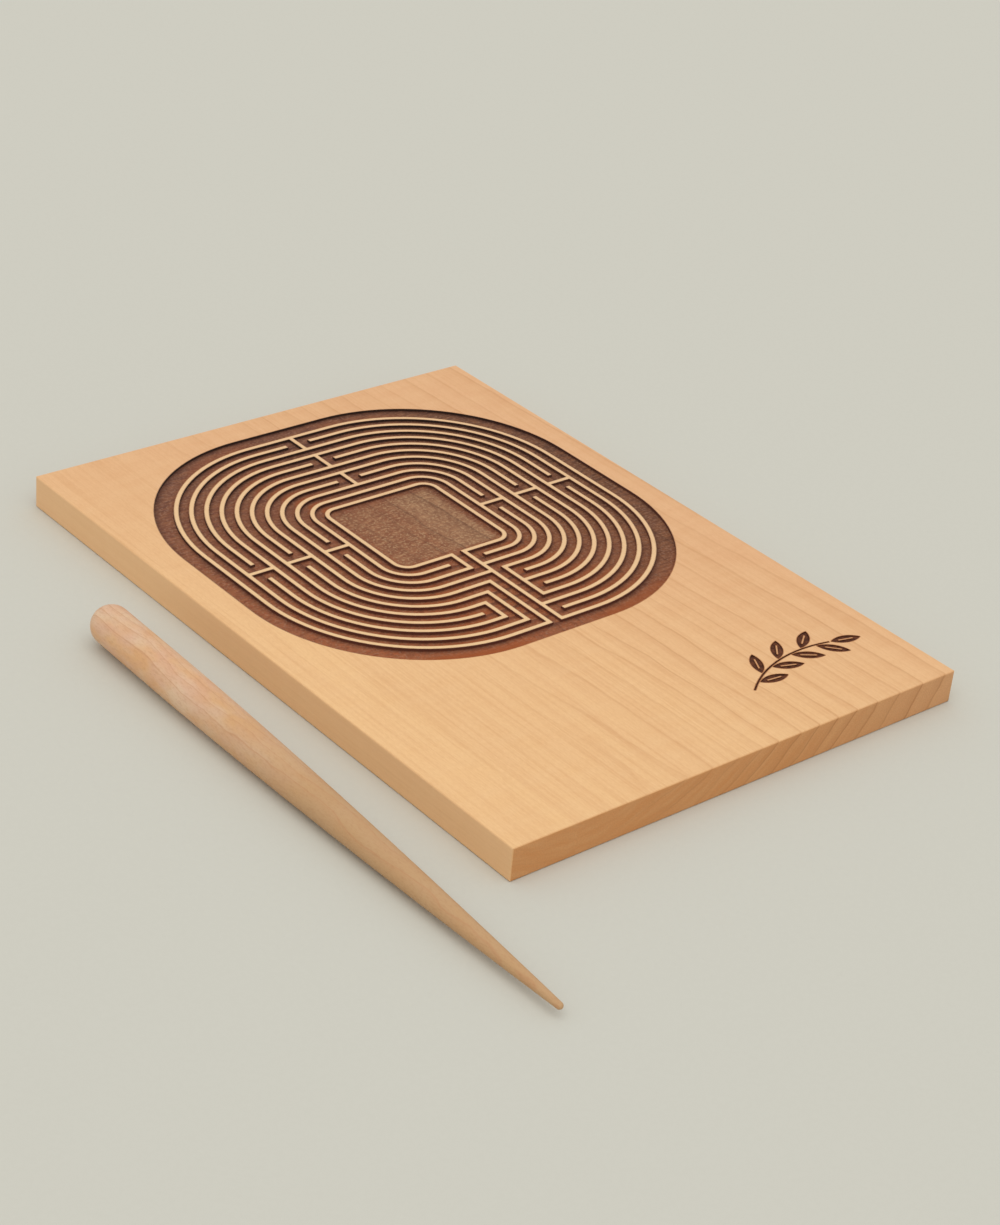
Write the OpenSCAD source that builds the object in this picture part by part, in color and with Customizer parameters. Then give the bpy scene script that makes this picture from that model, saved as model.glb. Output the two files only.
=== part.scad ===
// Finger labyrinth: a solid wood board with eleven concentric lanes cut into
// it, and the turned wooden stylus that traces them, lying beside the board.
// The origin is on the table under the middle of the board, +Z is up and +Y
// runs along the grain, from the plain end towards the labyrinth.

/* [Board] */
// Width of the board, across the grain
board_w = 180; // [165:1:230]
// Length of the board, along the grain
board_l = 253; // [225:1:320]
// Thickness of the board
board_t = 11.5; // [7:0.5:25]
// Radius that the edges are sanded to
edge_r = 0.6; // [0.2:0.1:2]

/* [Labyrinth] */
// Distance from one ridge to the next
pitch = 5; // [4:0.1:5.7]
// Width of each ridge
ridge_w = 1.75; // [1:0.05:2.5]
// Depth of the lanes below the face of the board
lane_d = 1; // [0.4:0.1:4]
// Middle of the field to the centre line of the ridge round it
field_half = 22.5; // [18:0.5:30]
// Corner radius of that ridge's centre line
field_r = 5; // [3:0.5:12]
// Clear width of the lane outside the last ridge
outer_lane = 5.9; // [2:0.1:14]
// Corner radius of the wall outside that lane
outer_r = 60.5; // [40:0.5:72]
// Clear passage round the free end of a ridge
turn_gap = 3.75; // [2.5:0.05:4.5]
// Board between the labyrinth and the far end
far_margin = 12; // [4:0.5:40]
// Distance of the labyrinth's middle to the right of the board's
maze_shift = 0.8; // [0:0.1:8]

/* [Sprig] */
// Length of each cut leaf
leaf_l = 11; // [6:0.5:13]
// Width of each cut leaf
leaf_w = 4; // [2:0.1:6]
// Width of the stem and of the rib left standing in each leaf
vein_w = 0.6; // [0.3:0.1:1.2]
// Gap between the stem and each leaf
leaf_gap = 0.3; // [0.1:0.1:1]
// Depth of the cut
sprig_d = 0.4; // [0.2:0.1:3]
// Radius of the curve that the stem follows
stem_r = 48; // [35:1:80]
// Middle of the stem to the right of the board's middle
sprig_x = 46; // [20:1:60]
// Middle of the stem to the near end of the board
sprig_y = 34; // [22:1:45]
// How far the sprig leans up to the right, in degrees
sprig_lean = 12; // [0:1:30]

/* [Stylus] */
// Overall length
stylus_l = 223; // [150:1:300]
// Diameter of the grip
stylus_d = 13.3; // [8:0.1:20]
// Length of the rounded butt
butt_l = 6.5; // [4:0.5:20]
// Length of the straight grip
grip_l = 34; // [20:0.5:100]
// Diameter of the point
tip_d = 2.2; // [0.8:0.1:2.8]
// How full the taper is: 1 is a plain cone
taper_power = 1.65; // [1.05:0.05:2]
// Gap between the stylus and the board
stylus_gap = 20; // [5:0.5:60]
// Start of the taper, measured from the near end of the board
stylus_y = 129; // [0:0.5:250]
// Lean of the stylus towards its point, as it lies
stylus_tilt = 1; // [0.2:0.1:2]

/* [Hidden] */
$fn = 96;

// A cut starts this far above the face that it goes into.
over = 1;

// Short flats that make up one sanded edge
edge_flats = 3;

// Ridges are numbered outwards from the middle field, 0 to 10.
last_ridge = 10;
ridges = [0:last_ridge];
arc_c = field_half - field_r;
maze_half = field_half + last_ridge * pitch + ridge_w / 2 + outer_lane;
maze_y = board_l / 2 - far_margin - maze_half;

// Lane walls that cross the bottom of the labyrinth, as [place in pitches,
// first ridge, last ridge].
cross_walls = [
    [0.5, 0, 10],
    [-0.5, 0, 2],
    [-0.5, 4, 10],
    [-1.5, 5, 9],
    [-2.5, 6, 8],
    [1.5, 3, 7]
];

// Where each ridge stops on the left and the right of the entry lane, as
// [place of the wall in pitches, whether it stops a passage short of it].
left_stops = [
    [-0.5, false], [-0.5, true], [-0.5, false], [0.5, false],
    [-0.5, false], [-1.5, false], [-2.5, false], [-2.5, true],
    [-2.5, false], [-1.5, false], [-0.5, false]
];
right_stops = [
    [0.5, false], [0.5, true], [0.5, false], [1.5, false],
    [1.5, true], [1.5, false], [1.5, true], [1.5, false],
    [0.5, false], [0.5, true], [0.5, false]
];

// Ridges that are open on the far side, and on the left and right sides. A
// short wall joins the two ridges beside each opening.
far_open = [3, 6, 9];
side_open = [2, 5, 8];

// Leaves beside the stem, their angle to it, and the arc that it covers
leaf_count = 7;
leaf_angle = 38;
stem_span = 52;
leaf_disc_r = (leaf_l * leaf_l + leaf_w * leaf_w) / (4 * leaf_w);
// Share of a leaf's length that its rib covers
rib_share = 0.5;

// Stylus outline as [radius, distance from the start of the taper]
grip_r = stylus_d / 2;
tip_r = tip_d / 2;
butt_steps = 12;
taper_steps = 36;
tip_steps = 4;
taper_l = stylus_l - butt_l - grip_l - tip_r;
butt_line = [for (i = [0:butt_steps]) [
    grip_r * sin(90 * i / butt_steps),
    -grip_l - butt_l * cos(90 * i / butt_steps)
]];
taper_line = [for (i = [0:taper_steps]) [
    grip_r - (grip_r - tip_r) * pow(i / taper_steps, taper_power),
    taper_l * i / taper_steps
]];
tip_line = [for (i = [1:tip_steps]) [
    tip_r * cos(90 * i / tip_steps),
    taper_l + tip_r * sin(90 * i / tip_steps)
]];
stylus_line = concat(butt_line, taper_line, tip_line);
// Height of the start of the taper when the stylus touches the table
rest_h = max([for (p = stylus_line) p[1] * sin(stylus_tilt) + p[0] * cos(stylus_tilt)]);

function ridge_at(k) = field_half + k * pitch;

function has(list, k) = len([for (item = list) if (item == k) item]) > 0;

// Place where a ridge stops beside a wall; side is -1 on the left and 1 on
// the right of that wall.
function stop_x(stop, side) =
    stop[0] * pitch + side * (ridge_w / 2 + (stop[1] ? turn_gap : 0));

// The straight part of a ridge's side, whole or with a passage in its middle
function spans(open) =
    let (gap = ridge_w / 2 + turn_gap)
    open ? [[-arc_c, -gap], [gap, arc_c]] : [[-arc_c, arc_c]];

// Outline of a rectangle with round corners
module round_rect(w, l, r) {
    difference() {
        square([w, l], center = true);
        for (sx = [-1, 1])
            for (sy = [-1, 1])
                translate([sx * (w / 2 - r), sy * (l / 2 - r)])
                    difference() {
                        translate([sx > 0 ? 0 : -r - over, sy > 0 ? 0 : -r - over])
                            square(r + over);
                        circle(r);
                    }
    }
}

// Outline of a rectangle whose corners are broken with a few short flats
module sanded_rect(w, l) {
    polygon([
        for (corner = [0:3])
            let (sx = corner == 0 || corner == 3 ? 1 : -1)
            let (sy = corner < 2 ? 1 : -1)
            for (i = [0:edge_flats])
                let (angle = 90 * (corner + i / edge_flats))
                [
                    sx * (w / 2 - edge_r) + edge_r * cos(angle),
                    sy * (l / 2 - edge_r) + edge_r * sin(angle)
                ]
    ]);
}

// Slab with every edge sanded: three outlines crossed
module slab() {
    translate([0, 0, board_t / 2])
        intersection() {
            linear_extrude(board_t, center = true)
                sanded_rect(board_w, board_l);
            rotate([90, 0, 0])
                linear_extrude(board_l, center = true)
                    sanded_rect(board_w, board_t);
            rotate([90, 0, 90])
                linear_extrude(board_w, center = true)
                    sanded_rect(board_l, board_t);
        }
}

// Straight wall from one x to another
module wall_x(from, to, y) {
    if (to > from)
        translate([from, y - ridge_w / 2, 0])
            cube([to - from, ridge_w, lane_d]);
}

// Straight wall from one y to another
module wall_y(from, to, x) {
    if (to > from)
        translate([x - ridge_w / 2, from, 0])
            cube([ridge_w, to - from, lane_d]);
}

// The four quarter turns of one ridge
module ridge_corners(k) {
    r = ridge_at(k) - arc_c;
    for (turn = [0:3])
        rotate(90 * turn)
            translate([arc_c, arc_c])
                rotate_extrude(angle = 90)
                    translate([r - ridge_w / 2, 0])
                        square([ridge_w, lane_d]);
}

// The straight stretches of one ridge
module ridge_sides(k) {
    at = ridge_at(k);
    for (span = spans(has(far_open, k)))
        wall_x(span[0], span[1], at);
    for (span = spans(has(side_open, k)))
        for (x = [-at, at])
            wall_y(span[0], span[1], x);
    wall_x(-arc_c, stop_x(left_stops[k], -1), -at);
    wall_x(stop_x(right_stops[k], 1), arc_c, -at);
}

// Short walls that join the ridges on each side of an opening
module joining_walls() {
    for (k = far_open)
        wall_y(ridge_at(k - 1) + ridge_w / 2, ridge_at(k + 1) - ridge_w / 2, 0);
    for (k = side_open)
        for (turn = [0, 180])
            rotate(turn)
                wall_x(ridge_at(k - 1) + ridge_w / 2, ridge_at(k + 1) - ridge_w / 2, 0);
}

// Walls that cross the ridges below the middle field
module crossing_walls() {
    for (w = cross_walls)
        wall_y(
            -ridge_at(w[2]) - ridge_w / 2,
            -ridge_at(w[1]) + ridge_w / 2,
            w[0] * pitch
        );
}

module labyrinth_walls() {
    for (k = ridges) {
        ridge_corners(k);
        ridge_sides(k);
    }
    joining_walls();
    crossing_walls();
}

// Pocket that the walls stand in
module labyrinth_pocket() {
    linear_extrude(lane_d + over)
        round_rect(2 * maze_half, 2 * maze_half, outer_r);
}

// One leaf from its stalk at the origin along +X, with a rib left standing
module leaf() {
    linear_extrude(sprig_d + over)
        difference() {
            intersection() {
                translate([leaf_l / 2, leaf_disc_r - leaf_w / 2])
                    circle(leaf_disc_r);
                translate([leaf_l / 2, leaf_w / 2 - leaf_disc_r])
                    circle(leaf_disc_r);
            }
            translate([leaf_l / 2, 0])
                square([leaf_l * rib_share, vein_w], center = true);
        }
}

// Leaf sprig, cut as a shallow pocket: leaves left and right of a curved stem
// that ends in one more leaf
module sprig() {
    leaf_off = vein_w / 2 + leaf_gap;
    rotate(sprig_lean)
        translate([0, -stem_r])
            rotate(90 - stem_span / 2) {
                rotate_extrude(angle = stem_span)
                    translate([stem_r - vein_w / 2, 0])
                        square([vein_w, sprig_d + over]);
                for (i = [1:leaf_count])
                    let (side = i % 2 == 0 ? 1 : -1)
                    rotate(stem_span * i / (leaf_count + 1))
                        translate([stem_r + side * leaf_off, 0])
                            rotate(-90 + side * leaf_angle)
                                leaf();
                translate([stem_r, -leaf_off])
                    rotate(-90)
                        leaf();
            }
}

module board() {
    color("burlywood")
        union() {
            difference() {
                slab();
                translate([maze_shift, maze_y, board_t - lane_d])
                    labyrinth_pocket();
                translate([sprig_x, sprig_y - board_l / 2, board_t - sprig_d])
                    sprig();
            }
            translate([maze_shift, maze_y, board_t - lane_d])
                labyrinth_walls();
        }
}

module stylus() {
    color("wheat")
        translate([
            -board_w / 2 - stylus_gap - grip_r,
            stylus_y - board_l / 2,
            rest_h
        ])
            rotate([90 + stylus_tilt, 0, 0])
                rotate_extrude()
                    polygon(stylus_line);
}

board();
stylus();
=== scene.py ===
"""Looks of the finger labyrinth board and its stylus, on a pale studio floor.

Lengths in the materials are in millimetres, as a maker would give them. Every
pattern is a solid one, so that it runs through faces and edges as wood does.
"""
import math

import bpy
from mathutils import Matrix, Vector


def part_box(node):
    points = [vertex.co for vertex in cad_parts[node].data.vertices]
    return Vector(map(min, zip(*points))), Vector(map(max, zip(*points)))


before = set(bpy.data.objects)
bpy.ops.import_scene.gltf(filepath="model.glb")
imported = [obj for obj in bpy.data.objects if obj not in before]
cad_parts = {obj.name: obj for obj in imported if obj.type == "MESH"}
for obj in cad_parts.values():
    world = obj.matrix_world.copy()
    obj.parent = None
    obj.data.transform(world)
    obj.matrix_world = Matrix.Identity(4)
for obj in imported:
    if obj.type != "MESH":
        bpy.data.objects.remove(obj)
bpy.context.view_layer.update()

MM = 0.001
BOARD_LOW, BOARD_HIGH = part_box("board")

# Sizes of the cut work, in millimetres, as in the part's source
PITCH = 5.0
RIDGES = 11
RIDGE_W = 1.75
LANE_D = 1.0
FIELD_HALF = 22.5
OUTER_LANE = 5.9
MAZE_SHIFT = 0.8
FAR_MARGIN = 12.0
MAZE_HALF = FIELD_HALF + (RIDGES - 1) * PITCH + RIDGE_W / 2 + OUTER_LANE
# The ridges' corners all turn about points this far from the middle both ways,
# and the last ridge lies this far out from there.
CORNER_AT = FIELD_HALF - PITCH
LAST_RIDGE = RIDGES * PITCH
# Where a ridge's wall stands, as a share of the way across a lane
WALL_AT = RIDGE_W / 2 / PITCH

# How far in from a cut the laser's heat has scorched the face
SCORCH_W = 0.4
# Half of the boxes that hold all the cut work and its scorched rim, and the
# sprig's place from the middle of the near end
MAZE_BOX = (MAZE_HALF + 0.9, MAZE_HALF + 0.9)
SPRIG_BOX = (36.0, 24.0)
SPRIG_AT = (46.0, 34.0)

# Radii of the board's growth rings, in millimetres from the tree's middle
BOARD_RINGS = (
    76, 78.2, 82.5, 87.4, 93.6, 100.1, 106.7, 111.7, 119, 124.5, 131.5, 137.5, 145.5,
    153.5, 163, 172, 181, 190)
# The stylus comes from a slower tree, with rings 3.4 mm apart.
STYLUS_RINGS = [130 + 3.4 * year for year in range(30)]

FLOOR_HALF = 40.0
# The floor lies this far under the table plane, so that no faces coincide.
FLOOR_DROP = 0.05 * MM
TENT_STRENGTH = 0.72
LAMP_STRENGTH = 0.93
LAMP_SPREAD = math.radians(70)
LAMP_FROM = Vector((-0.25, -0.25, 1.0))

# Inputs and outputs of a Mix node, for colours and for numbers
SHARE, FIRST, SECOND, BLEND = 0, 6, 7, 2
FIRST_NUMBER, SECOND_NUMBER = 2, 3


def to_linear(colour):
    """Turns an sRGB hex colour into the linear one that a shader takes."""
    parts = [int(colour[i:i + 2], 16) / 255 for i in (1, 3, 5)]
    return (*[c / 12.92 if c <= 0.04045 else ((c + 0.055) / 1.055) ** 2.4 for c in parts], 1)


def add(tree, kind, inputs=None, out=0, **settings):
    """Adds a node with its settings and links, and gives one of its outputs.

    An input may be a number, a socket to link or a hex colour.
    """
    node = tree.nodes.new("ShaderNode" + kind)
    for name, value in settings.items():
        setattr(node, name, value)
    for socket, value in (inputs or {}).items():
        if isinstance(value, bpy.types.NodeSocket):
            tree.links.new(value, node.inputs[socket])
        elif isinstance(value, str):
            node.inputs[socket].default_value = to_linear(value)
        else:
            node.inputs[socket].default_value = value
    return node.outputs[out] if node.outputs else node


def new_material(name):
    """Empty node material, its tree and its places in millimetres."""
    material = bpy.data.materials.new(name)
    material.use_nodes = True
    tree = material.node_tree
    tree.nodes.clear()
    where = add(tree, "TexCoord", out="Object")
    place = add(tree, "VectorMath", {0: where, "Scale": 1 / MM}, operation="SCALE")
    return material, tree, place


def finish_material(tree, colour, rough, height, height_mm, shader):
    """Joins colour, roughness and a height in millimetres to one shader."""
    normal = add(tree, "Bump", {"Height": height, "Strength": 1.0, "Distance": height_mm * MM})
    surface = add(tree, "BsdfPrincipled", {
        "Base Color": colour, "Roughness": rough, "Normal": normal, **shader})
    add(tree, "OutputMaterial", {"Surface": surface})


def grains(tree, place, size, seed, detail=2.0, rough=0.5, soft=0.2):
    """Random grains from 0 to 1, of size = (x, y, z) millimetres.

    The smaller soft is, the more sharply the grains stand out.
    """
    squeezed = add(tree, "VectorMath", {
        0: place, 1: tuple(1 / s for s in size), 2: (seed,) * 3}, operation="MULTIPLY_ADD")
    noise = add(tree, "TexNoise", {
        "Vector": squeezed, "Scale": 1.0, "Detail": detail, "Roughness": rough})
    return add(tree, "MapRange", {"Value": noise, "From Min": 0.5 - soft, "From Max": 0.5 + soft})


def paint(tree, base, coats):
    """Lays coats of colour over a base: each has a share, a strength and a colour."""
    for share, strength, coat in coats:
        cover = add(tree, "Math", {0: share, 1: strength}, operation="MULTIPLY", use_clamp=True)
        base = add(tree, "Mix", {
            SHARE: cover, FIRST: base, SECOND: coat}, out=BLEND, data_type="RGBA")
    return base


def about_pith(tree, place, pith, drift, wander, seed):
    """Distance from the tree's middle, as its bent rings count it, and the
    angle about it."""
    bend = grains(tree, place, (38.0, 120.0, 38.0), seed)
    shiver = grains(tree, place, (9.0, 22.0, 9.0), seed + 3.0)
    shiver_share = 0.35
    x, y, z = add(tree, "SeparateXYZ", {0: place}).node.outputs
    drifted = add(tree, "Math", {0: y, 1: drift, 2: x}, operation="MULTIPLY_ADD")
    aside = add(tree, "Math", {0: drifted, 1: pith[0]}, operation="SUBTRACT")
    above = add(tree, "Math", {0: z, 1: pith[1]}, operation="SUBTRACT")
    flat = add(tree, "CombineXYZ", {0: aside, 1: above})
    radius = add(tree, "VectorMath", {0: flat}, out="Value", operation="LENGTH")
    bent = add(tree, "Math", {0: bend, 1: wander, 2: radius}, operation="MULTIPLY_ADD")
    shaken = add(tree, "Math", {
        0: shiver, 1: shiver_share * wander, 2: bent}, operation="MULTIPLY_ADD")
    # Both average a half, so the rings are set back by as much.
    average = (1 + shiver_share) / 2 * wander
    centred = add(tree, "Math", {0: shaken, 1: average}, operation="SUBTRACT")
    angle = add(tree, "Math", {0: aside, 1: above}, operation="ARCTAN2")
    return centred, angle


def years_grown(tree, radius, ring_ends):
    """How many years' growth lies within a radius: a curve through ring_ends."""
    first, last = ring_ends[0], ring_ends[-1]
    reach = add(tree, "MapRange", {"Value": radius, "From Min": first, "From Max": last})
    curve = add(tree, "FloatCurve", {"Value": reach})
    points = curve.node.mapping.curves[0].points
    years = len(ring_ends) - 1
    for year in range(1, years):
        points.new((ring_ends[year] - first) / (last - first), year / years)
    for point in points:
        point.handle_type = "VECTOR"
    curve.node.mapping.update()
    return add(tree, "Math", {0: curve, 1: years}, operation="MULTIPLY")


def growth_rings(tree, place, pith, drift, ring_ends, wander, seed):
    """Late wood of growth rings round a pith that runs nearly along Y.

    Gives 0 in early wood and 1 at the dark end of a ring, and thin layers that
    follow the rings. ring_ends are the radii in millimetres where a year's
    growth ends, drift is how far the pith moves towards -X for each millimetre
    along Y, and wander is how far a ring strays.
    """
    radius, angle = about_pith(tree, place, pith, drift, wander, seed)
    years = years_grown(tree, radius, ring_ends)
    share = add(tree, "Math", {0: years}, operation="FRACT")
    # Late wood darkens slowly, then quickly, and ends at a sharp line.
    slow = add(tree, "MapRange", {
        "Value": share, "From Min": 0.3, "From Max": 0.93, "To Max": 0.3},
        interpolation_type="SMOOTHSTEP")
    quick = add(tree, "MapRange", {
        "Value": share, "From Min": 0.84, "From Max": 0.95, "To Max": 0.7},
        interpolation_type="SMOOTHSTEP")
    both = add(tree, "Math", {0: slow, 1: quick}, operation="ADD")
    fall = add(tree, "MapRange", {
        "Value": share, "From Min": 0.94, "From Max": 1.0, "To Min": 1.0, "To Max": 0.0},
        interpolation_type="SMOOTHSTEP")
    late = add(tree, "Math", {0: both, 1: fall}, operation="MULTIPLY")
    # Each ring has its own strength, and it comes and goes along the grain.
    number = add(tree, "Math", {0: years}, operation="FLOOR")
    luck = add(tree, "TexWhiteNoise", {"W": number}, noise_dimensions="1D")
    along = grains(tree, place, (12.0, 45.0, 12.0), seed + 5.0)
    mixed = add(tree, "Math", {0: luck, 1: along}, operation="ADD")
    weight = add(tree, "MapRange", {"Value": mixed, "From Max": 1.6, "To Min": 0.2, "To Max": 1.0})
    weighed = add(tree, "Math", {0: late, 1: weight}, operation="MULTIPLY")
    # Thin layers within each ring, seen where the grain is cut across
    round_pith = add(tree, "CombineXYZ", {0: radius, 1: angle})
    layers = grains(tree, round_pith, (1.5, 0.15, 1.0), seed + 7.0)
    return weighed, layers


def in_box(tree, place, centre, half):
    """1 inside an upright box round centre, 0 outside it."""
    away = add(tree, "VectorMath", {0: place, 1: (*centre, 0.0)}, operation="SUBTRACT")
    size = add(tree, "VectorMath", {0: away}, operation="ABSOLUTE")
    x, y, _ = add(tree, "SeparateXYZ", {0: size}).node.outputs
    in_x = add(tree, "Math", {0: x, 1: half[0]}, operation="LESS_THAN")
    in_y = add(tree, "Math", {0: y, 1: half[1]}, operation="LESS_THAN")
    return add(tree, "Math", {0: in_x, 1: in_y}, operation="MULTIPLY")


def lane_places(tree, place, maze):
    """Where a point lies among the lanes, which run round a rounded square.

    Gives how far out it is in millimetres (0 in the middle, PITCH on the first
    ridge), how far it is across its lane going towards +Y (0 on one ridge, 1
    on the next), and from 0 to 1 how squarely the lane lies across Y.
    """
    away = add(tree, "VectorMath", {0: place, 1: (*maze, 0.0)}, operation="SUBTRACT")
    flat = add(tree, "VectorMath", {0: away, 1: (1.0, 1.0, 0.0)}, operation="MULTIPLY")
    low = add(tree, "VectorMath", {0: flat, 1: (-CORNER_AT,) * 3}, operation="MAXIMUM")
    core = add(tree, "VectorMath", {0: low, 1: (CORNER_AT,) * 3}, operation="MINIMUM")
    outward = add(tree, "VectorMath", {0: flat, 1: core}, operation="SUBTRACT")
    out = add(tree, "VectorMath", {0: outward}, out="Value", operation="LENGTH")
    heading = add(tree, "VectorMath", {0: outward}, operation="NORMALIZE")
    side = add(tree, "SeparateXYZ", {0: heading}, out=1)
    # The outermost lane is wider. It is counted as if it were like the others.
    wall = LAST_RIDGE + RIDGE_W / 2
    squeezed = add(tree, "MapRange", {
        "Value": out, "From Min": wall, "From Max": MAZE_HALF - CORNER_AT,
        "To Min": wall, "To Max": LAST_RIDGE + PITCH - RIDGE_W / 2})
    even = add(tree, "Math", {0: out, 1: squeezed}, operation="MINIMUM")
    lanes = add(tree, "Math", {0: even, 1: PITCH}, operation="DIVIDE")
    outwards = add(tree, "Math", {0: lanes}, operation="FRACT")
    inwards = add(tree, "Math", {0: 1.0, 1: outwards}, operation="SUBTRACT")
    beyond = add(tree, "Math", {0: side, 1: 0.0}, operation="GREATER_THAN")
    across = add(tree, "Mix", {
        SHARE: beyond, FIRST_NUMBER: inwards, SECOND_NUMBER: outwards}, data_type="FLOAT")
    slope = add(tree, "Math", {0: side}, operation="ABSOLUTE")
    square = add(tree, "MapRange", {
        "Value": slope, "From Min": 0.3, "From Max": 0.95}, interpolation_type="SMOOTHSTEP")
    return out, across, square


def plain_alder(tree, place, late):
    """Colour of the planed face, and the fibre that gives it its tooth."""
    # Real fibres are some 0.03 mm across; drawn 1.1 mm so that they show.
    fibre = grains(tree, place, (1.1, 60.0, 1.1), 3.0, detail=3.0, rough=0.6)
    strong_fibre = add(tree, "MapRange", {"Value": fibre, "From Min": 0.35})
    # Slow changes of tone across the plank, and narrower bands of it
    tone = grains(tree, place, (26.0, 150.0, 26.0), 7.0)
    bands = grains(tree, place, (5.0, 80.0, 5.0), 27.0)
    # Cross figure, the faint bands that catch the light across the grain
    figure = grains(tree, place, (14.0, 5.0, 14.0), 11.0)
    # Pores are 0.05 mm across; drawn 0.5 mm wide so that they show.
    dashes = grains(tree, place, (0.5, 1.8, 0.5), 23.0, detail=1.0, rough=0.6)
    # Painted shade: the plank is a little darker towards its far right corner, where the light falls
    # off.
    run = add(tree, "VectorMath", {
        0: place, 1: (0.8, 0.6, 0.0)}, out="Value", operation="DOT_PRODUCT")
    painted_falloff_shade = add(tree, "MapRange", {"Value": run, "From Min": -70.0, "From Max": 45.0})
    colour = paint(tree, "#F3C58C", [
        (painted_falloff_shade, 1.0, "#E6B282"),
        (tone, 0.3, "#E7B683"),
        (bands, 0.2, "#E0AA78"),
        (late, 0.6, "#C58A55"),
        (strong_fibre, 0.4, "#D69E68"),
        (figure, 0.14, "#F8D2A0"),
        (dashes, 0.16, "#C98E58")])
    return colour, fibre


def end_alder(tree, place, late, layers):
    """Colour of the end grain: it soaks up light, so it is darker and redder,
    with pores as dots and the rings as slanted bands."""
    pores = grains(tree, place, (0.45, 0.45, 0.45), 5.0, detail=1.0)
    x = add(tree, "SeparateXYZ", {0: place})
    paler = add(tree, "MapRange", {"Value": x, "From Min": 20.0, "From Max": 90.0})
    return paint(tree, "#D29157", [
        (paler, 0.6, "#DDAC80"),
        (layers, 0.45, "#DDAA74"),
        (late, 0.9, "#B27643"),
        (pores, 0.4, "#B8804C")])


def painted_lane_light_and_shade(tree, x, y, maze, lanes):
    """Shares of painted light and of painted shade on the floor of the lanes.

    Orange painted light lies on the floor just to the +Y side of each ridge,
    as if lit from behind, and painted shade lies in front of the next.
    """
    out, across, square = lanes
    in_lanes = add(tree, "Math", {0: out, 1: PITCH}, operation="GREATER_THAN")
    # The painted light is narrower, and then gone, where the lane turns to run along Y.
    shorter = add(tree, "MapRange", {
        "Value": square, "From Min": 0.9, "To Min": 0.34, "To Max": 0.0})
    reached = add(tree, "Math", {0: across, 1: shorter}, operation="ADD")
    # Painted light: orange on the floor just to the +Y side of each ridge.
    behind = add(tree, "MapRange", {
        "Value": reached, "From Min": 0.44, "From Max": 0.76, "To Min": 1.0, "To Max": 0.0})
    # It fades towards the right side and the far end.
    rightwards = add(tree, "MapRange", {
        "Value": x, "From Min": 10.0, "From Max": 60.0, "To Min": 1.0, "To Max": 0.4})
    farther = add(tree, "MapRange", {
        "Value": y, "From Min": maze[1] + 20.0, "From Max": maze[1] + 70.0,
        "To Min": 1.0, "To Max": 0.3})
    # Near the middle line the lanes turn to run along the board, without painted light.
    aside = add(tree, "Math", {0: x, 1: maze[0]}, operation="SUBTRACT")
    off_line = add(tree, "Math", {0: aside}, operation="ABSOLUTE")
    off_turns = add(tree, "MapRange", {"Value": off_line, "From Min": 9.0, "From Max": 20.0})
    painted_lit_floor = behind
    for share in (square, in_lanes, rightwards, farther, off_turns):
        painted_lit_floor = add(tree, "Math", {0: painted_lit_floor, 1: share}, operation="MULTIPLY")
    # Painted shade on the floor in front of the next ridge.
    before = add(tree, "MapRange", {"Value": across, "From Min": 0.6, "From Max": 1.0 - WALL_AT})
    soot_and_painted_shade = add(tree, "Math", {0: before, 1: in_lanes}, operation="MULTIPLY")
    return painted_lit_floor, soot_and_painted_shade


def lasered_floor(tree, place, maze, lanes, late, soot_and_painted_shade, painted_far_shade):
    """Colour of the burnt floor: red-brown in the lanes, darker to the right,
    darker far off with painted shade, with painted light and painted shade
    beside the ridges, and lighter in the open middle field."""
    x, y, _ = add(tree, "SeparateXYZ", {0: place}).node.outputs
    painted_lit_floor, painted_shade_band = painted_lane_light_and_shade(tree, x, y, maze, lanes)
    # The laser's passes are 0.1 mm apart; drawn 1.2 mm apart so that they show.
    passes = grains(tree, place, (5.0, 1.2, 9.0), 13.0, soft=0.12)
    threads = grains(tree, place, (1.4, 6.0, 9.0), 15.0, soft=0.12)
    patches = grains(tree, place, (16.0, 22.0, 30.0), 19.0)
    speckle = grains(tree, place, (0.9, 0.9, 9.0), 21.0, detail=1.0, soft=0.15)
    specks = add(tree, "MapRange", {"Value": speckle, "From Min": 0.6})
    right = add(tree, "MapRange", {"Value": x, "From Min": maze[0], "From Max": maze[0] + 70.0})
    lane_floor = paint(tree, "#A25832", [
        (painted_far_shade, 0.85, "#63443A"),
        (right, 0.85, "#553C2C"),
        (soot_and_painted_shade, 0.45, "#58301C"),
        (passes, 0.35, "#AA7048"),
        (specks, 0.3, "#B08A70"),
        (patches, 0.3, "#8C5840"),
        (late, 0.5, "#4A2B20"),
        # Painted light beside each ridge, and painted shade in front of the next
        (painted_lit_floor, 0.85, "#9E5024"),
        (painted_shade_band, 0.5, "#472820")])
    right_half = add(tree, "MapRange", {"Value": x, "From Min": maze[0], "From Max": maze[0] + 6.0})
    field_floor = paint(tree, "#915C3E", [
        (right_half, 0.75, "#AC8764"),
        (passes, 0.55, "#BC8E66"),
        (threads, 0.4, "#774A33"),
        (soot_and_painted_shade, 0.4, "#70452F"),
        (specks, 0.45, "#CBA67C"),
        (patches, 0.3, "#87563C"),
        (late, 0.5, "#4E2E20")])
    # The field stays lighter, but not close to its ridge.
    open_field = add(tree, "MapRange", {
        "Value": lanes[0], "From Min": 0.2, "From Max": 3.6, "To Min": 1.0, "To Max": 0.0},
        interpolation_type="SMOOTHSTEP")
    return paint(tree, lane_floor, [(open_field, 0.9, field_floor)])


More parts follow.
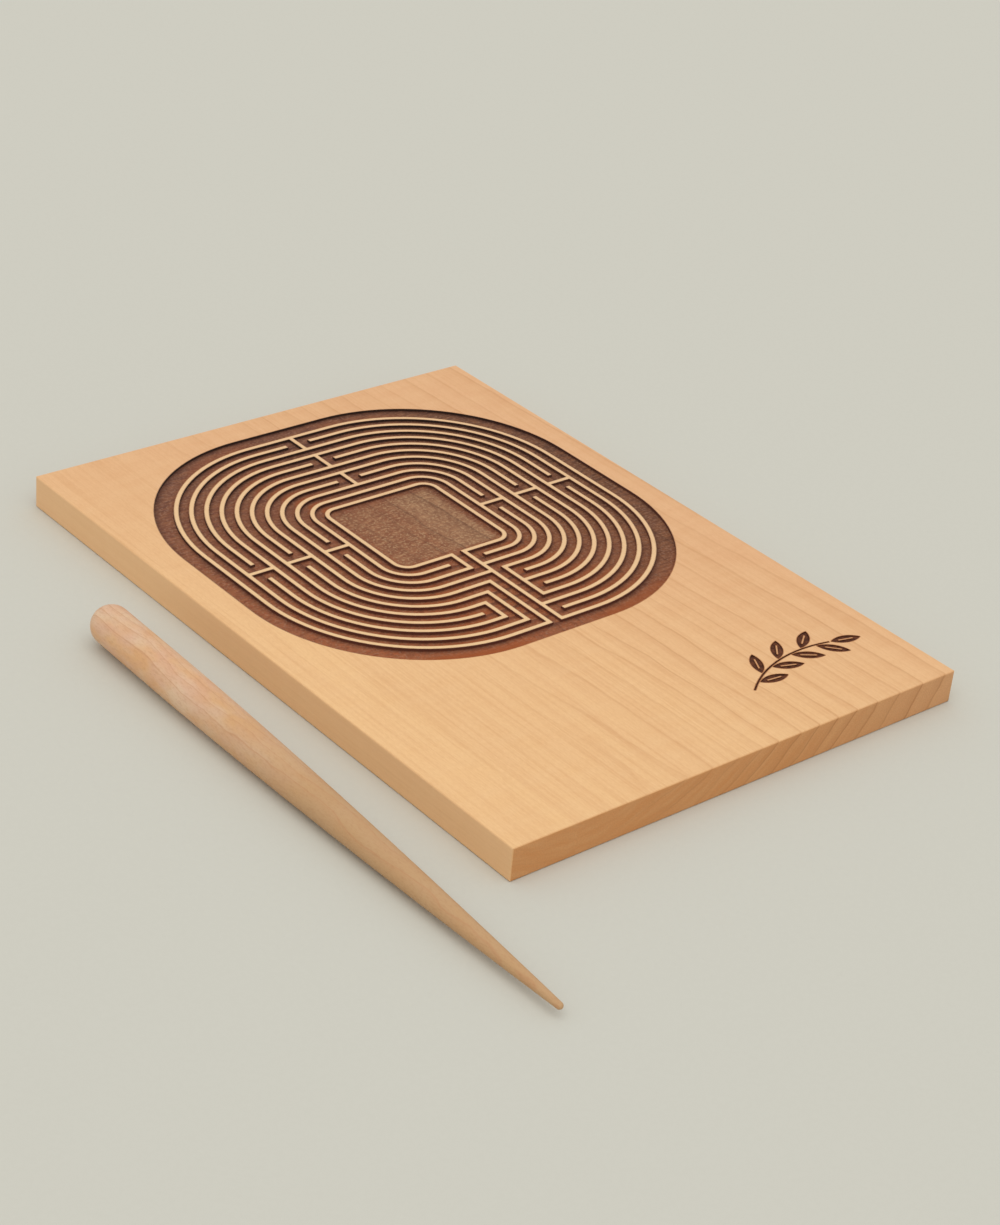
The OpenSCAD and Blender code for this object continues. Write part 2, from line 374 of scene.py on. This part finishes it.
def scorch_edges(tree, wood, in_cuts, lanes):
    """Wood is thin next to a cut, and there the face is scorched brown. On the
    +Y edge of a ridge it is painted orange as painted light, where that side
    would catch a lamp from behind."""
    _, across, square = lanes
    solid = add(tree, "AmbientOcclusion", {"Distance": SCORCH_W * MM}, out="AO",
                samples=6, inside=True, only_local=True)
    thin = add(tree, "MapRange", {"Value": solid, "From Min": 0.97, "From Max": 0.62})
    scorched = add(tree, "Math", {0: thin, 1: in_cuts}, operation="MULTIPLY")
    # Painted light: the scorch turns orange along the +Y edge of each ridge.
    on_light_side = add(tree, "Math", {0: across, 1: 1.2 * WALL_AT}, operation="LESS_THAN")
    painted_light_side = add(tree, "Math", {0: on_light_side, 1: square}, operation="MULTIPLY")
    edge = paint(tree, "#74452A", [(painted_light_side, 0.9, "#A8642E")])
    return paint(tree, wood, [(scorched, 0.95, edge)])


def alder_sanded_and_lasered():
    """Alder, flat sawn, planed and sanded, with lanes burnt out by a laser.

    Pale orange wood with soft growth lines and a fine fibre. The laser leaves
    a matt red-brown floor, near-black walls and a thin scorched edge. Painted
    shade darkens the face towards its far right, the long sides and the cut
    work far off, and painted light and painted shade lie beside each ridge.
    """
    material, tree, place = new_material("alder_sanded_and_lasered")
    middle = (BOARD_LOW.x + BOARD_HIGH.x) / 2 / MM
    maze = (middle + MAZE_SHIFT, BOARD_HIGH.y / MM - FAR_MARGIN - MAZE_HALF)
    sprig = (middle + SPRIG_AT[0], BOARD_LOW.y / MM + SPRIG_AT[1])
    x, y, z = add(tree, "SeparateXYZ", {0: place}).node.outputs
    depth = add(tree, "Math", {0: BOARD_HIGH.z / MM, 1: z}, operation="SUBTRACT")
    lanes = lane_places(tree, place, maze)
    among_lanes = add(tree, "Math", {0: lanes[0], 1: LAST_RIDGE + PITCH / 2}, operation="LESS_THAN")

    # The rings lie nearly flat on the left, where they hardly show, and they
    # are faint on the narrow ridges.
    rings, layers = growth_rings(
        tree, place, pith=(-72.0, 89.0), drift=0.045, ring_ends=BOARD_RINGS, wander=2.8, seed=0.35)
    flat_side = add(tree, "MapRange", {
        "Value": x, "From Min": -55.0, "From Max": 5.0, "To Min": 0.15})
    late = add(tree, "Math", {0: rings, 1: flat_side}, operation="MULTIPLY")
    calmer = add(tree, "MapRange", {"Value": among_lanes, "To Min": 1.0, "To Max": 0.4})
    face_late = add(tree, "Math", {0: late, 1: calmer}, operation="MULTIPLY")

    wood, fibre = plain_alder(tree, place, face_late)
    normal = add(tree, "NewGeometry", out="True Normal")
    facing_x, facing_y, facing_z = add(tree, "SeparateXYZ", {0: normal}).node.outputs
    end_on = add(tree, "Math", {0: facing_y}, operation="ABSOLUTE")
    side_on = add(tree, "Math", {0: facing_x}, operation="ABSOLUTE")
    is_end = add(tree, "MapRange", {"Value": end_on, "From Min": 0.6, "From Max": 0.95})
    painted_side_shade = add(tree, "MapRange", {"Value": side_on, "From Min": 0.6, "From Max": 0.95})
    # Uncut wood between the lanes is a little paler than the open face.
    wood = paint(tree, wood, [
        (is_end, 1.0, end_alder(tree, place, late, layers)),
        # Painted shade: the long sides are a little darker and less orange.
        (painted_side_shade, 0.6, "#EBBF8E"),
        (among_lanes, 0.4, "#F2D6A6")])

    # Cut work is what lies just below the face inside the two boxes.
    in_maze = in_box(tree, place, maze, MAZE_BOX)
    in_sprig = in_box(tree, place, sprig, SPRIG_BOX)
    in_cuts = add(tree, "Math", {0: in_maze, 1: in_sprig}, operation="MAXIMUM")
    near_top = add(tree, "Math", {0: depth, 1: 1.5 * LANE_D}, operation="LESS_THAN")
    cut_here = add(tree, "Math", {0: in_cuts, 1: near_top}, operation="MULTIPLY")
    below = add(tree, "MapRange", {"Value": depth, "From Min": 0.01, "From Max": 0.05})
    burnt = add(tree, "Math", {0: cut_here, 1: below}, operation="MULTIPLY")
    wood = scorch_edges(tree, wood, in_cuts, lanes)

    soot_and_painted_shade = grains(tree, place, (1.6, 1.4, 9.0), 17.0, soft=0.12)
    # Painted shade: the cut work is darker far off, where less light reaches it.
    painted_far_shade = add(tree, "MapRange", {
        "Value": y, "From Min": maze[1] - 45.0, "From Max": maze[1] + 60.0})
    floor = lasered_floor(tree, place, maze, lanes, late, soot_and_painted_shade, painted_far_shade)
    sprig_floor = paint(tree, "#4B2615", [(soot_and_painted_shade, 1.0, "#6A3B22")])
    # The walls are sootiest halfway down.
    foot = add(tree, "MapRange", {"Value": depth, "From Min": 0.5, "From Max": 0.95})
    level = add(tree, "MapRange", {"Value": facing_z, "From Min": 0.8, "From Max": 0.97})
    deep = add(tree, "MapRange", {"Value": depth, "From Min": 0.3, "From Max": 0.35})
    on_floor = add(tree, "Math", {0: level, 1: deep}, operation="MULTIPLY")
    cut_colour = paint(tree, "#5E3022", [
        # Painted shade: the walls go near-black far off
        (painted_far_shade, 1.0, "#2C1B14"),
        (foot, 0.7, floor),
        (on_floor, 1.0, floor),
        (in_sprig, 1.0, sprig_floor)])
    colour = paint(tree, wood, [(burnt, 1.0, cut_colour)])

    rough = add(tree, "MapRange", {"Value": burnt, "To Min": 0.52, "To Max": 0.9})
    tooth = add(tree, "Math", {0: fibre, 1: 0.35}, operation="MULTIPLY")
    crust = add(tree, "Math", {0: soot_and_painted_shade, 1: burnt}, operation="MULTIPLY")
    height = add(tree, "Math", {0: tooth, 1: crust}, operation="ADD")
    finish_material(tree, colour, rough, height, 0.12, {"IOR": 1.45, "Specular IOR Level": 0.35})
    return material


def beech_turned_and_sanded():
    """Beech, turned on a lathe and sanded, with no finish.

    Pinkish tan, with faint darker flecks along the stick and soft orange and
    pink clouds. It is darker where the grain is cut across: at the butt, and
    more and more along the taper.
    """
    material, tree, place = new_material("beech_turned_and_sanded")
    late, _ = growth_rings(
        tree, place, pith=(-280.0, -14.0), drift=0.012, ring_ends=STYLUS_RINGS, wander=6.0, seed=0.1)
    clouds = grains(tree, place, (6.0, 15.0, 6.0), 2.0, soft=0.14)
    pink = grains(tree, place, (5.0, 12.0, 5.0), 4.0, soft=0.14)
    flecks = grains(tree, place, (0.5, 1.8, 0.5), 9.0, rough=0.6)
    strong_flecks = add(tree, "MapRange", {"Value": flecks, "From Min": 0.45})
    along = add(tree, "SeparateXYZ", {0: place}, out=1)
    tapering = add(tree, "MapRange", {"Value": along, "From Min": -10.0, "From Max": -75.0})
    normal = add(tree, "NewGeometry", out="True Normal")
    towards_butt = add(tree, "SeparateXYZ", {0: normal}, out=1)
    butt = add(tree, "MapRange", {"Value": towards_butt, "From Min": 0.4})
    colour = paint(tree, "#E1BF9C", [
        (clouds, 0.75, "#DEA66C"),
        (pink, 0.45, "#DBAB92"),
        (tapering, 0.9, "#C1996C"),
        (late, 0.6, "#BC835A"),
        (strong_flecks, 0.22, "#A9744C"),
        (butt, 0.5, "#C9946F")])
    finish_material(tree, colour, 0.55, flecks, 0.05, {"IOR": 1.45, "Specular IOR Level": 0.35})
    return material


def matt_card():
    """Matt painted card, rolled out as a studio floor: pale warm grey, with
    only a faint tooth."""
    material, tree, place = new_material("matt_card")
    tooth = grains(tree, place, (2.0, 2.0, 2.0), 1.0)
    colour = paint(tree, "#CFCDC1", [(tooth, 1.0, "#CECCC0")])
    finish_material(tree, colour, 0.95, tooth, 0.02, {"Specular IOR Level": 0.1})
    return material


def dress(node, material):
    """Gives a CAD node its material."""
    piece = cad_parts[node]
    piece.data.materials.clear()
    piece.data.materials.append(material)


def lay_floor():
    """Plain floor, wide enough for every view."""
    half = FLOOR_HALF
    mesh = bpy.data.meshes.new("studio_floor")
    corners = [(-half, -half, 0), (half, -half, 0), (half, half, 0), (-half, half, 0)]
    mesh.from_pydata(corners, [], [(0, 1, 2, 3)])
    floor = bpy.data.objects.new("studio_floor", mesh)
    floor.data.materials.append(matt_card())
    bpy.context.scene.collection.objects.link(floor)
    floor.location.z = -FLOOR_DROP


def light_studio():
    """A bright tent all round, and one wide lamp above the near side."""
    world = bpy.data.worlds.new("studio_tent")
    world.use_nodes = True
    background = world.node_tree.nodes["Background"]
    background.inputs["Color"].default_value = to_linear("#FFFFFF")
    background.inputs["Strength"].default_value = TENT_STRENGTH
    bpy.context.scene.world = world
    lamp = bpy.data.lights.new("wide_lamp", "SUN")
    lamp.energy = LAMP_STRENGTH
    lamp.angle = LAMP_SPREAD
    holder = bpy.data.objects.new("wide_lamp", lamp)
    bpy.context.scene.collection.objects.link(holder)
    holder.rotation_mode = "QUATERNION"
    holder.rotation_quaternion = LAMP_FROM.to_track_quat("Z", "Y")


def place_camera():
    """Camera low over the near left corner, tipped a little to its right."""
    around, above, roll = math.radians(42.06), math.radians(30.1), math.radians(5.74)
    away = 0.854
    aim = Vector((-0.0117, -0.0246, BOARD_HIGH.z))
    ahead = Vector((math.sin(around), math.cos(around), 0))
    forward = ahead * math.cos(above) - Vector((0, 0, math.sin(above)))
    level = Vector((math.cos(around), -math.sin(around), 0))
    right = level * math.cos(roll) + level.cross(forward) * math.sin(roll)
    up = right.cross(forward)
    data = bpy.data.cameras.new("camera")
    data.sensor_width = 36.0
    data.lens = 79.46
    camera = bpy.data.objects.new("camera", data)
    bpy.context.scene.collection.objects.link(camera)
    turn = Matrix((right, up, -forward)).transposed().to_4x4()
    camera.matrix_world = Matrix.Translation(aim - forward * away) @ turn
    bpy.context.scene.camera = camera


bpy.context.scene.view_settings.view_transform = "Standard"
dress("board", alder_sanded_and_lasered())
dress("stylus", beech_turned_and_sanded())
lay_floor()
light_studio()
place_camera()
